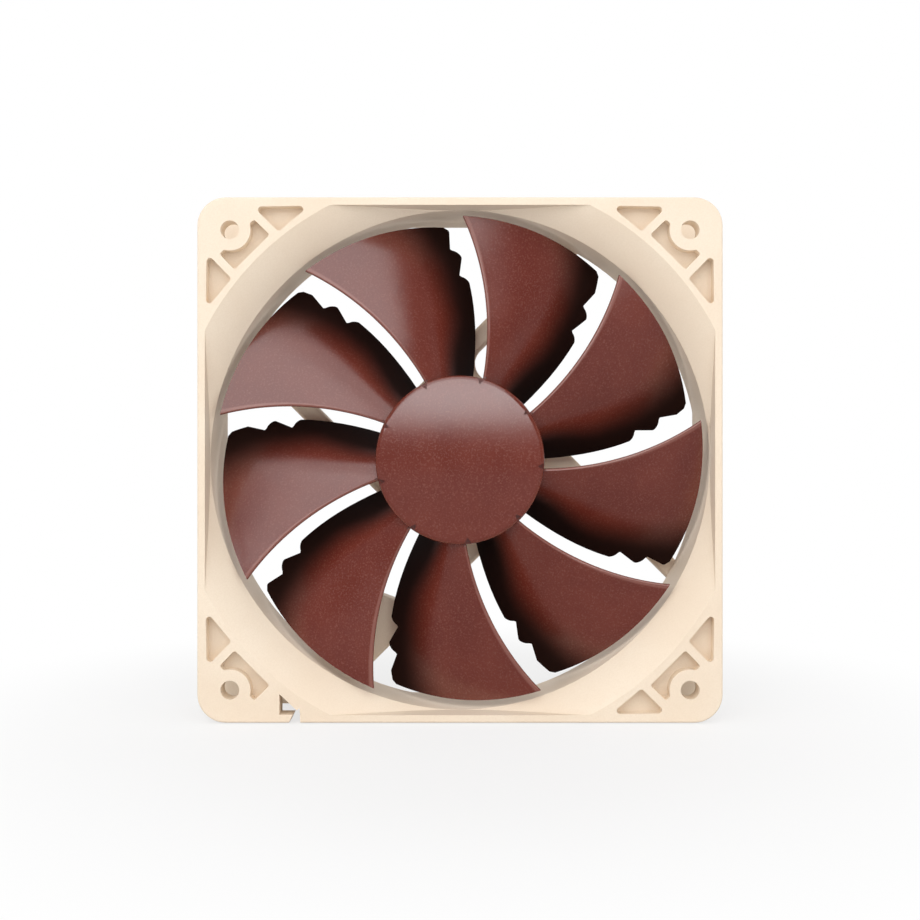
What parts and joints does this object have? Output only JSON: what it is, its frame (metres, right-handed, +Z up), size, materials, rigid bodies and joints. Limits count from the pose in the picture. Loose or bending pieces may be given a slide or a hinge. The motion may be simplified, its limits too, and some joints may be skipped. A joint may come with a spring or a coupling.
{
  "type": "case fan",
  "caption": "Square open-corner case fan: beige moulded frame with straight rear struts, red-brown impeller with swept notched blades, brushless motor in the hub.",
  "frame": {"origin": "on the spin axis, at the centre of the frame's 120 x 25 x 120 mm box", "axes": "+Z up, -Y towards the intake side that the viewer faces, +Y the way the air leaves, +X to the right seen from the intake side"},
  "size_m": [0.12, 0.025, 0.12],
  "materials": {
    "housing": "light beige, fine spark-eroded satin",
    "impeller": "red-brown, glass-fibre filled, satin",
    "brass": "turned",
    "sintered_bronze": "sintered, oiled",
    "white_nylon": "natural, slightly translucent",
    "black_plastic": "moulded",
    "magnet": "bonded ferrite, dull",
    "foil": "brushed foil, blank",
    "laminated_steel": "stacked laminations",
    "tinned_metal": "tinned",
    "board": "solder resist",
    "chip": "moulded epoxy",
    "ceramic_part": "fired ceramic",
    "zinc_steel": "zinc plated, drawn",
    "polished_steel": "ground and polished",
    "copper_winding": "enamelled copper wire"
  },
  "bodies": {
    "housing": {"frame": "housing", "bearing_tube": "brass", "sleeve_bearing": "sintered_bronze", "oil_seal": "white_nylon", "thrust_pad": "white_nylon", "thrust_magnet": "magnet", "bearing_cap": "black_plastic", "rear_label": "foil", "stator_core": "laminated_steel", "front_insulator": "white_nylon", "rear_insulator": "white_nylon", "winding_pins": "tinned_metal", "circuit_board": "board", "hall_sensor": "chip", "driver_chip": "chip", "capacitor": "ceramic_part", "diode": "chip", "resistors": "chip", "coil_1": "copper_winding", "coil_2": "copper_winding", "coil_3": "copper_winding", "coil_4": "copper_winding"},
    "rotor": {"impeller": "impeller", "rotor_yoke": "zinc_steel", "ring_magnet": "magnet", "shaft_boss": "brass", "shaft": "polished_steel", "retaining_ring": "white_nylon"}
  },
  "joints": [
    {"name": "impeller_spin", "type": "hinge", "parent": "housing", "child": "rotor", "pos_m": [0, 0, 0], "axis": [0, -1, 0], "continuous": true}
  ]
}
